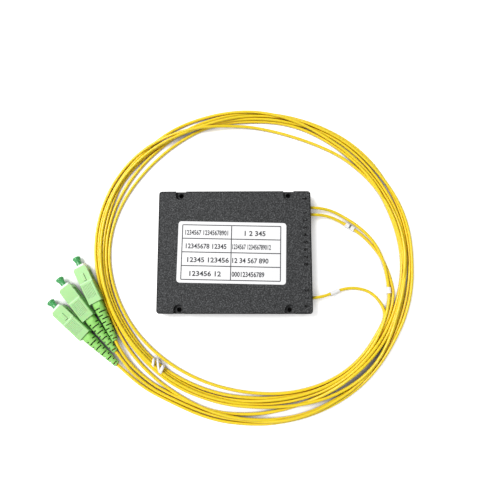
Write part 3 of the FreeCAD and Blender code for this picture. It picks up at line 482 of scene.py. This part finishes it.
# painted shade along the lid's outer edge, near-black on the rounded rim
add_rim(box_plastic, colour(14, 14, 15), half_length, half_width, 0.0009)
add_speckle(ink, colour(20, 22, 28), colour(110, 112, 118), 1100.0, 0.4)
print("the lid's half sides:", round(half_length, 4), round(half_width, 4))

# %% Cords, connectors and tie
jacket = moulded_material("cord_jacket", colour(251, 220, 40), 0.3, 0.05, (1600, 0.00001), 0.0001,
                          Subsurface_Weight=0.05, Subsurface_Scale=0.0005)
# the grip's edges carry a painted highlight
grip_plastic = moulded_material("grip_plastic", colour(164, 220, 140), 0.38, 0.12, (1800, 0.00002), 0.0003,
                                painted_edge_highlight=colour(240, 255, 232), Subsurface_Weight=0.1,
                                Subsurface_Scale=0.001)
boot_rubber = moulded_material("boot_rubber", colour(152, 221, 112), 0.5, 0.06, (1800, 0.00002), 0.0001)
frame_plastic = moulded_material("frame_plastic", colour(240, 246, 238), 0.35, 0.03, (1800, 0.00001), 0.00015)
cap_plastic = moulded_material("cap_plastic", colour(98, 196, 120), 0.25, 0.05, (1500, 0.00001), 0.0001,
                               Transmission_Weight=0.35)
ceramic = moulded_material("ferrule_ceramic", colour(240, 238, 232), 0.12, 0.02, (3000, 0.000002), 0.00005)
marker_plastic = moulded_material("marker_sleeve", colour(253, 253, 252), 0.35, 0.04, (1500, 0.00001), 0.0001)
soft_tie = moulded_material("soft_tie", colour(252, 252, 253), 0.45, 0.04, (1500, 0.00002), 0.0001)
grey_print = moulded_material("grey_print", colour(120, 122, 126), 0.5, 0.1, (1500, 0.000002), 0.00002)
print("materials so far:", len(bpy.data.materials))

# %% [markdown]
# A boot's slits are painted dark inside as shade and a grip's step gets a painted highlight. Both follow the
# connector's own axis, so a node group measures along and away from that axis, and each connector's
# materials give it their own place. Where two cords touch, painted shade darkens the jacket down in the
# valley, by how closed in the surface is there.

# %% Place along a connector, as a node group
axis_group, given, result = new_group("along_axis", [
    ("Origin", "NodeSocketVector", None), ("Rotation", "NodeSocketVector", None)],
    [("Along", "NodeSocketFloat"), ("Away", "NodeSocketFloat")])
n, l = axis_group.nodes, axis_group.links
place, mapping = n.new("ShaderNodeTexCoord"), n.new("ShaderNodeMapping")
split = n.new("ShaderNodeSeparateXYZ")
mapping.vector_type = "TEXTURE"
l.new(place.outputs["Object"], mapping.inputs["Vector"])
l.new(given.outputs["Origin"], mapping.inputs["Location"])
l.new(given.outputs["Rotation"], mapping.inputs["Rotation"])
l.new(mapping.outputs[0], split.inputs[0])
l.new(split.outputs["X"], result.inputs["Along"])
squares = [math_node(n, l, "MULTIPLY", split.outputs[axis], split.outputs[axis]) for axis in ("Y", "Z")]
l.new(math_node(n, l, "SQRT", math_node(n, l, "ADD", *squares)), result.inputs["Away"])


def axis_node(material, number):
    """The group set to one connector's frame, in that material."""
    _, heading, pitch, _ = CONNECTORS[number]
    node = material.node_tree.nodes.new("ShaderNodeGroup")
    node.node_tree = axis_group
    node.inputs["Origin"].default_value = [v * MM for v in along_connector(number, 0)]
    node.inputs["Rotation"].default_value = (0, math.radians(-pitch), math.radians(heading))
    return node


def tint_where(material, factor, tone):
    """Blend the shader's colour towards a tone where the factor is one."""
    nodes, links = material.node_tree.nodes, material.node_tree.links
    socket = nodes["Principled BSDF"].inputs["Base Color"]
    links.new(mix_colour(nodes, links, factor, socket.links[0].from_socket, tone), socket)


def slit_shade(material, number):
    """Painted shade: dark where the boot's surface lies more than a little under its outer taper, as inside
    the slits.
    """
    nodes, links = material.node_tree.nodes, material.node_tree.links
    here = axis_node(material, number)
    boot_end = (GRIP_LENGTH + BOOT_LENGTH) * MM
    slope = (BOOT_RADIUS - BOOT_END_RADIUS) / (BOOT_LENGTH - BOOT_COLLAR)
    from_end = math_node(nodes, links, "ADD", here.outputs["Along"], boot_end)
    rise = math_node(nodes, links, "MULTIPLY", from_end, slope)
    taper = math_node(nodes, links, "ADD", rise, BOOT_END_RADIUS * MM)
    outer = math_node(nodes, links, "MINIMUM", taper, BOOT_RADIUS * MM)
    under = math_node(nodes, links, "SUBTRACT", outer, here.outputs["Away"])
    deeper = math_node(nodes, links, "SUBTRACT", under, 0.22 * MM)
    inside = math_node(nodes, links, "MULTIPLY", deeper, 5000, True)
    behind_collar = math_node(nodes, links, "LESS_THAN", here.outputs["Along"], -(GRIP_LENGTH + 3.3) * MM)
    # the slits' insides are painted dark as shade
    tint_where(material, math_node(nodes, links, "MULTIPLY", inside, behind_collar), colour(20, 32, 8))


def step_line(material, number, step=11.1):
    """A painted highlight: a pale line where the grip steps down to its ribbed half, that far behind its
    front, broken into dashes.
    """
    nodes, links = material.node_tree.nodes, material.node_tree.links
    here = axis_node(material, number)
    off = math_node(nodes, links, "ADD", here.outputs["Along"], step * MM)
    off = math_node(nodes, links, "MULTIPLY", math_node(nodes, links, "ABSOLUTE", off), 1900)
    near = math_node(nodes, links, "SUBTRACT", 1.0, off, True)
    highlight_dashes = math_node(nodes, links, "ADD", noise(nodes, links, 450.0), 0.1, True)
    # painted highlight along the step
    tint_where(material, math_node(nodes, links, "MULTIPLY", near, highlight_dashes), colour(222, 252, 214))


def openness_node(nodes, links, reach, samples):
    """How open the surface is to its surroundings, from 0 to 1."""
    node = nodes.new("ShaderNodeAmbientOcclusion")
    node.samples, node.inputs["Distance"].default_value = samples, reach
    return node.outputs["AO"]


def crevice_shade(material, reach, tone):
    """Painted shade: dark where other surfaces stand close, as between two touching cords."""
    nodes, links = material.node_tree.nodes, material.node_tree.links
    closed = math_node(nodes, links, "SUBTRACT", 0.72, openness_node(nodes, links, reach, 8))
    tint_where(material, math_node(nodes, links, "MULTIPLY", closed, 2.2, True), tone)


# painted shade in the valleys where the cords touch
crevice_shade(jacket, 0.0016, colour(172, 74, 8))
boots, grips = [], []
# each boot gets painted shade in its slits and each grip a painted highlight at its step
for number in range(3):
    boots.append(boot_rubber.copy())
    grips.append(grip_plastic.copy())
    slit_shade(boots[-1], number)
    step_line(grips[-1], number)
print("connector materials:", [material.name for material in boots + grips])

# %% What the box and the connectors hold
steel = moulded_material("turned_steel", colour(190, 190, 194), 0.3, 0.05, (2500, 0.00001), 0.0001,
                         Metallic=1.0)
silica = moulded_material("silica", colour(220, 232, 240), 0.1, 0.02, (1500, 0.000002), 0.0001,
                          Transmission_Weight=0.7)
rubber = moulded_material("stopper_rubber", colour(40, 40, 42), 0.7, 0.1, (1500, 0.00003), 0.0002)
fibre = moulded_material("fibre_coat", colour(232, 232, 230), 0.4, 0.03, (1500, 0.00001), 0.00005)
FINISH = {
    "base_shell": box_plastic, "lid_shell": box_plastic, "paper_label": paper,
    "package_tube": steel, "input_stopper": rubber, "output_stopper": rubber,
    "splitter_chip": silica, "input_fibre_array": silica, "output_fibre_array": silica,
    "input_fibre": fibre, "output_fibre": fibre, "cord_end": jacket,
    "grip_sleeve": grip_plastic, "plug_frame": frame_plastic, "ferrule": ceramic,
    "ferrule_flange": steel, "spring": steel, "rear_post": steel, "crimp_ring": steel,
    "bend_boot": boot_rubber, "dust_cap": cap_plastic,
    "tail": jacket, "output_lead": jacket, "input_lead": jacket, "cord_coil": jacket,
    "output_marker": marker_plastic, "input_marker": marker_plastic, "coil_tie": soft_tie,
}
for node in frame["nodes"]:
    dress(node, FINISH[node.rstrip("_0123456789")])
for number in range(3):
    dress(f"bend_boot_{number + 1}", boots[number])
    dress(f"grip_sleeve_{number + 1}", grips[number])
print("nodes dressed:", len(frame["nodes"]), "materials:", len(bpy.data.materials))

# %% [markdown]
# The spring behind each ferrule really shortens when the ferrule is pushed back. The model's spring is a
# rigid node, so a copy of its coil stands for it.

# %% The springs
def spring_piece(number):
    """A copy of the coil of one spring, in place of the model's rigid node."""
    node = bpy.data.objects[f"spring_{number + 1}"]
    data = node.data.copy()
    piece = bpy.data.objects.new(f"spring_coil_{number + 1}", data)
    bpy.context.scene.collection.objects.link(piece)
    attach(piece, "module")
    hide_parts(node.name)
    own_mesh(piece)
    return piece


spring_coils = [spring_piece(number) for number in range(3)]

# %% [markdown]
# Each cord carries a white marker sleeve near the box and the ten pieces of its connector. It stands for the
# model's lead, its share of the coil and its tail.

for number, piece in enumerate(cords):
    piece.data.materials.append(jacket)
    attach(piece, "module")
    lead = ("output_lead_1", "output_lead_2", "input_lead")[number]
    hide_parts(lead, "cord_coil", f"tail_{number + 1}")

# %% [markdown]
# ## Print and relief
# The label is ruled into four rows and two columns and printed in grey; its words are left out and plain
# numbers stand in their place. The lid carries low moulded numbers beside the exits. The rules repeat at
# even steps, so one Geometry Nodes tree draws both ladders of bars, across and down. Numbers are text
# turned to mesh, because a digit's outline is already what the printer uses.

# %% A ladder of bars, as a Geometry Nodes tree
def build_ladder_tree():
    """Bars of one size at even steps along Y."""
    tree = bpy.data.node_groups.new("ladder_of_bars", "GeometryNodeTree")
    tree.interface.new_socket("Geometry", in_out="OUTPUT", socket_type="NodeSocketGeometry")
    for label, kind in (("Count", "NodeSocketInt"), ("Spacing", "NodeSocketFloat"),
                        ("Bar Size", "NodeSocketVector"), ("Finish", "NodeSocketMaterial")):
        tree.interface.new_socket(label, in_out="INPUT", socket_type=kind)
    n, l = tree.nodes, tree.links
    given, result = n.new("NodeGroupInput"), n.new("NodeGroupOutput")
    step, line = n.new("ShaderNodeCombineXYZ"), n.new("GeometryNodeMeshLine")
    bar, copies = n.new("GeometryNodeMeshCube"), n.new("GeometryNodeInstanceOnPoints")
    real, finish = n.new("GeometryNodeRealizeInstances"), n.new("GeometryNodeSetMaterial")
    l.new(given.outputs["Spacing"], step.inputs["Y"])
    l.new(given.outputs["Count"], line.inputs["Count"])
    l.new(step.outputs[0], line.inputs["Offset"])
    l.new(given.outputs["Bar Size"], bar.inputs["Size"])
    l.new(line.outputs[0], copies.inputs["Points"])
    l.new(bar.outputs[0], copies.inputs["Instance"])
    l.new(copies.outputs[0], real.inputs[0])
    l.new(real.outputs[0], finish.inputs["Geometry"])
    l.new(given.outputs["Finish"], finish.inputs["Material"])
    l.new(finish.outputs[0], result.inputs[0])
    return tree


ladder_tree = build_ladder_tree()


def ladder(count, spacing, bar, material):
    """The tree's mesh for these settings, in millimetres, with its first bar at the origin."""
    holder = bpy.data.objects.new("ladder", bpy.data.meshes.new("ladder"))
    bpy.context.scene.collection.objects.link(holder)
    modifier = holder.modifiers.new("ladder", "NODES")
    modifier.node_group = ladder_tree
    settings = {"Count": count, "Spacing": spacing, "Bar Size": bar, "Finish": material}
    for item in ladder_tree.interface.items_tree:
        if item.in_out == "INPUT":
            modifier[item.identifier] = settings[item.name]
    bpy.context.view_layer.update()
    mesh = bpy.data.meshes.new_from_object(holder.evaluated_get(bpy.context.evaluated_depsgraph_get()))
    holder.modifiers.remove(modifier)
    bpy.data.objects.remove(holder)
    return mesh


# %% Numbers as mesh, and pieces joined from many small meshes
def number_mesh(text, height, width=None, depth=0.02):
    """Digits centred on the origin, in millimetres, stretched to a width where one is given."""
    data = bpy.data.curves.new("digits", "FONT")
    data.body, data.size, data.extrude, data.offset = text, height / 0.72, depth / 2, 0.035 * height
    data.align_x, data.align_y, data.resolution_u = "CENTER", "CENTER", 3
    holder = bpy.data.objects.new("digits", data)
    bpy.context.scene.collection.objects.link(holder)
    bpy.context.view_layer.update()
    mesh = bpy.data.meshes.new_from_object(holder.evaluated_get(bpy.context.evaluated_depsgraph_get()))
    bpy.data.objects.remove(holder)
    if width:
        xs = [v.co.x for v in mesh.vertices]
        mesh.transform(Matrix.Scale(width / (max(xs) - min(xs)), 4, (1, 0, 0)))
    return mesh


def joined(name, pieces, material, body="module"):
    """One piece from (mesh, matrix in millimetres) pairs, with its mesh in metres."""
    made = bmesh.new()
    for mesh, place in pieces:
        copy = mesh.copy()
        copy.transform(Matrix.Scale(MM, 4) @ place)
        made.from_mesh(copy)
        bpy.data.meshes.remove(copy)
    bmesh.ops.recalc_face_normals(made, faces=made.faces)
    data = bpy.data.meshes.new(name)
    made.to_mesh(data)
    made.free()
    data.materials.clear()
    data.materials.append(material)
    for face in data.polygons:
        face.material_index = 0
    piece = bpy.data.objects.new(name, data)
    bpy.context.scene.collection.objects.link(piece)
    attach(piece, body)
    print(name, "has", len(data.polygons), "faces")
    return piece


# %% The label's rules and numbers
QUARTER_TURN = Matrix.Rotation(math.radians(-90), 4, "Z")
label_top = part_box("paper_label")[1][2] / MM
ON_LABEL = Matrix.Translation((-1.8, -0.8, label_top)) @ Matrix.Rotation(math.radians(-1.2), 4, "Z")
LEFT, RIGHT, LOW, HIGH = -32.4, 31.6, -17.9, 17.7
ROW, RULE, DIGITS = (HIGH - LOW) / 4, 0.6, 3.2


def on_label(u, v):
    """A place on the label, across and up from its middle."""
    return ON_LABEL @ Matrix.Translation((u, v, 0.01))


across_rules = ladder(5, ROW, (RIGHT - LEFT, RULE, 0.03), ink)
upright_rules = ladder(3, (RIGHT - LEFT) / 2, (HIGH - LOW, RULE, 0.028), ink)
rules = [(across_rules, on_label((LEFT + RIGHT) / 2, LOW)),
         (upright_rules, on_label(LEFT, (LOW + HIGH) / 2) @ QUARTER_TURN)]
joined("label_rules", rules, ink)
# text, centre along the label, width, for the left and the right column from the top row down
ENTRIES = [("1234567 12345678901", -16.6, 28), ("1 2 345", 14.6, 13.6),
           ("12345678 12345", -17.0, 26.5), ("1234567 123456789012", 12.6, 25),
           ("12345 123456", -15.6, 27), ("12 34 567 890", 11.8, 23.4),
           ("123456 12", -17.2, 20.4), ("000123456789", 10.8, 21)]
entries = [(number_mesh(text, DIGITS, width, 0.03), on_label(u, HIGH - ROW * (k // 2 + 0.58)))
           for k, (text, u, width) in enumerate(ENTRIES)]
joined("label_numbers", entries, ink)

# %% The lid's numbers and arrows
MARK_X, LAST_EXIT, EXIT_PITCH, RELIEF = 46, 30, 4.8, 0.12
lid_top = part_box("lid_shell")[1][2] / MM


def on_lid(y, turn=Matrix.Identity(4)):
    """A place on the lid's strip of marks, beside the exits."""
    return Matrix.Translation((MARK_X, y, lid_top)) @ turn


# eight outputs are counted from the far side and two inputs from the near side
places = [(k, LAST_EXIT - EXIT_PITCH * k) for k in range(1, 9)]
places += [(k + 1, EXIT_PITCH * k - LAST_EXIT) for k in range(2)]
marks = [(number_mesh(str(k), 2.6, depth=RELIEF), on_lid(y, QUARTER_TURN)) for k, y in places]
joined("lid_numbers", marks, relief)


def arrow_mesh(length=3.4, width=2.4, depth=RELIEF):
    """A low arrow along +X, centred on the origin."""
    outline = [(-0.5, -0.13), (0.05, -0.13), (0.05, -0.5), (0.5, 0), (0.05, 0.5), (0.05, 0.13), (-0.5, 0.13)]
    made = bmesh.new()
    rows = [[made.verts.new((x * length, y * width, z)) for x, y in outline] for z in (-depth / 2, depth / 2)]
    made.faces.new(rows[0][::-1])
    made.faces.new(rows[1])
    for k in range(len(outline)):
        nxt = (k + 1) % len(outline)
        made.faces.new((rows[0][k], rows[0][nxt], rows[1][nxt], rows[1][k]))
    mesh = bpy.data.meshes.new("arrow")
    made.to_mesh(mesh)
    made.free()
    return mesh


half_turn = Matrix.Rotation(math.radians(180), 4, "Z")
arrows = [(arrow_mesh(), on_lid(34.8)), (arrow_mesh(), on_lid(-35, half_turn))]
joined("lid_arrows", arrows, relief)

# %% [markdown]
# ## The tie
# A soft white tie is wound three times round the inner strands of the coil. Each wrap is a thin flat
# band, drawn as a closed loop round whatever strands pass there, so it fits them snugly instead of
# standing off as a ring.

# %% The tie's wraps
def strands_at(angle, inner, outer):
    """Radius and height of the strands between two radii at one angle round the coil."""
    found = []
    for cord in range(3):
        for k, sample in enumerate(angles):
            if (sample - angle) % 360 == 0 and inner <= radii[cord, k] <= outer:
                found.append((radii[cord, k], heights[cord, k]))
    return np.array(found)


def flattened(wave):
    """A sine or cosine drawn out towards a rounded square."""
    return math.copysign(abs(wave) ** 0.75, wave)


# the band's section: place across its width and depth, as shares of each, bulging on its outer side
BAND = [(-1, 0.1), (-0.8, 0.85), (0, 1), (0.8, 0.85), (1, 0.1), (0.9, 0), (-0.9, 0)]


def wrap_mesh(start, end, width=2.2, thickness=0.45, steps=40):
    """A flat band round the strands, from (angle, radius) on its inside to (angle, radius) on its outside."""
    held = strands_at(-130, 86, TIED_OUTER)
    top, low = held[:, 1].max() + DIAMETER / 2 + 0.05, 0.5
    made, rings = bmesh.new(), []
    middle, reach = (start[1] + end[1]) / 2, abs(end[1] - start[1]) / 2
    for s in range(steps):
        a = 2 * math.pi * s / steps
        across = flattened(math.cos(a))
        height = (top + low) / 2 + (top - low) / 2 * flattened(math.sin(a))
        radius = middle + reach * across
        along = start[0] + (end[0] - start[0]) * (across + 1) / 2
        at = Vector(polar(along, radius, height))
        tangent = Vector((-math.sin(math.radians(along)), math.cos(math.radians(along)), 0))
        outward = (Vector(polar(along, radius + math.cos(a), height + math.sin(a))) - at).normalized()
        rings.append([made.verts.new(at + tangent * (width / 2 * p) + outward * (thickness * q))
                      for p, q in BAND])
    for s in range(steps):
        one, two = rings[s], rings[(s + 1) % steps]
        for p in range(len(BAND)):
            after = (p + 1) % len(BAND)
            made.faces.new((one[p], one[after], two[after], two[p]))
    mesh = bpy.data.meshes.new("wrap")
    made.to_mesh(mesh)
    made.free()
    return mesh


IN_PLACE = Matrix.Identity(4)
WRAPS = [((-129.7, 88.4), (-128.9, 93)), ((-133.1, 88), (-129, 93.2)), ((-134.4, 89.4), (-132.6, 93.2))]
wraps = [(wrap_mesh(*wrap), IN_PLACE) for wrap in WRAPS]
tie = joined("coil_tie_wraps", wraps, soft_tie)
for face in tie.data.polygons:
    face.use_smooth = True
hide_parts("coil_tie")

# %% The small grey mark on the second output's marker sleeve
marker_start, marker_end = Vector(LEADS[1][3]), Vector(LEADS[1][4])
marker_axis = (marker_end - marker_start).normalized()
side = Vector((0, 0, 1)).cross(marker_axis).normalized()
rise = marker_axis.cross(side)


def sleeve_patch(centre, half_length, half_angle, radius):
    """A thin printed patch that lies on a sleeve, centred on its top."""
    made = bmesh.new()
    rows = []
    for a in np.linspace(-half_angle, half_angle, 7):
        lift = side * math.sin(math.radians(a)) + rise * math.cos(math.radians(a))
        rows.append([made.verts.new(centre + marker_axis * u + lift * r)
                     for u in (-half_length, half_length) for r in (radius, radius + 0.03)])
    for one, two in zip(rows[:-1], rows[1:]):
        for p, q in ((1, 3), (0, 1), (3, 2), (2, 0)):
            made.faces.new((one[p], one[q], two[q], two[p]))
    for row in (rows[0], rows[-1]):
        made.faces.new((row[0], row[1], row[3], row[2]))
    mesh = bpy.data.meshes.new("patch")
    made.to_mesh(mesh)
    made.free()
    return mesh


MARKER_RADIUS = 1.6
mark = sleeve_patch((marker_start + marker_end) / 2, 0.6, 50, MARKER_RADIUS)
joined("marker_print", [(mark, IN_PLACE)], grey_print)

# %% [markdown]
# ## Floor and light
# A pale table under wide soft studio light. The lamps are kept low enough for a colour to come out as
# written. The table alone is lifted to white, and the backdrop behind it is white to the camera only. In
# tight gaps the table's colour is painted dark as shade.

# %% Floor and lights
def flat_stage(name, size, z):
    """A square sheet that only the stage holds."""
    mesh = bpy.data.meshes.new(name)
    corners = [(-size, -size, z), (size, -size, z), (size, size, z), (-size, size, z)]
    mesh.from_pydata(corners, [], [(0, 1, 2, 3)])
    piece = bpy.data.objects.new(name, mesh)
    bpy.context.scene.collection.objects.link(piece)
    return piece


def table_material(lift):
    """A pale matte top, painted dark as shade in tight gaps, and lifted to white where it lies open and is
    seen, mirrored or seen through plastic.
    """
    material = moulded_material("table_top", (0.95, 0.95, 0.95, 1), 0.8, 0.0, (10, 0.0), 0.0)
    nodes, links = material.node_tree.nodes, material.node_tree.links
    path, glow = nodes.new("ShaderNodeLightPath"), nodes.new("ShaderNodeEmission")
    both = nodes.new("ShaderNodeAddShader")
    rays = [path.outputs[f"Is {kind} Ray"] for kind in ("Camera", "Glossy", "Transmission")]
    seen = math_node(nodes, links, "MAXIMUM", rays[0], math_node(nodes, links, "MAXIMUM", *rays[1:]))
    above_least = math_node(nodes, links, "SUBTRACT", openness_node(nodes, links, 14 * MM, 12), 0.15)
    openness = math_node(nodes, links, "MULTIPLY", above_least, 2.0, True)
    surface = nodes["Principled BSDF"].inputs["Base Color"]
    # painted shade: the top's colour goes dark where it is closed in
    painted_gap_shade = mix_colour(nodes, links, openness, (0.09, 0.08, 0.085, 1), surface.links[0].from_socket)
    links.new(painted_gap_shade, surface)
    lifted = math_node(nodes, links, "MULTIPLY", seen, lift)
    links.new(math_node(nodes, links, "MULTIPLY", lifted, openness), glow.inputs["Strength"])
    links.new(nodes["Principled BSDF"].outputs[0], both.inputs[0])
    links.new(glow.outputs[0], both.inputs[1])
    links.new(both.outputs[0], nodes["Material Output"].inputs["Surface"])
    return material


floor = flat_stage("table", 3.0, -0.00005)
floor.data.materials.append(table_material(0.5))


def area_light(name, place, size, power):
    """A square lamp that faces the origin."""
    data = bpy.data.lights.new(name, "AREA")
    data.shape, data.size, data.energy = "SQUARE", size, power
    lamp = bpy.data.objects.new(name, data)
    lamp.location = place
    lamp.rotation_euler = (-Vector(place)).to_track_quat("-Z", "Y").to_euler()
    bpy.context.scene.collection.objects.link(lamp)


area_light("key", (-0.6, 0.3, 1.0), 0.55, 13)
area_light("fill", (-0.3, -0.6, 1.1), 0.8, 3.5)
world = bpy.data.worlds.new("studio")
bpy.context.scene.world = world
world.use_nodes = True
AMBIENT = 0.2
n, l = world.node_tree.nodes, world.node_tree.links
backdrop = n["Background"]
backdrop.inputs["Color"].default_value = (1, 1, 1, 1)
seen = math_node(n, l, "MULTIPLY", n.new("ShaderNodeLightPath").outputs["Is Camera Ray"], 1 - AMBIENT)
l.new(math_node(n, l, "ADD", seen, AMBIENT), backdrop.inputs["Strength"])
print("lamps:", [(lamp.name, lamp.energy) for lamp in bpy.data.lights])

# %% Finish
bpy.context.scene.view_settings.view_transform = "Standard"
